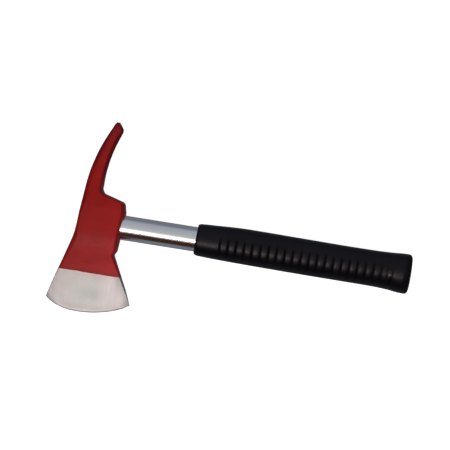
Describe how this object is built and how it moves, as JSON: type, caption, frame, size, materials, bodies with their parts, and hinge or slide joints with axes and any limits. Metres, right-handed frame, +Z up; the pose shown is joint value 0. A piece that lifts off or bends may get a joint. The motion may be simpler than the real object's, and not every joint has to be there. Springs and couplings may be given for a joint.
{
  "type": "fire axe",
  "caption": "Fireman's hand axe with a broad bare blade, a curved pick, a steel tube handle and a ribbed rubber grip.",
  "frame": {"origin": "under the middle of the whole axe, on the plane it lies on", "axes": "+X along the handle toward the butt, +Y toward the pick's tip with the blade toward -Y, +Z up out of the head's upper cheek; the axe lies flat"},
  "size_m": [0.3632, 0.1974, 0.036],
  "materials": {
    "head_paint": "satin signal-red enamel over forged steel; the blade is ground bare from the paint line to the cutting edge",
    "handle_chrome": "bright chromed steel tube with fine lengthwise polishing marks",
    "plug_steel": "plain turned steel, driven into the tube",
    "grip_rubber": "black moulded rubber, satin on the ribs and dull in the grooves",
    "plug_plastic": "plain moulded black plastic"
  },
  "bodies": {
    "root": {"axe_head": "head_paint", "handle_tube": "handle_chrome", "eye_plug": "plug_steel", "grip": "grip_rubber", "butt_plug": "plug_plastic"}
  },
  "joints": []
}
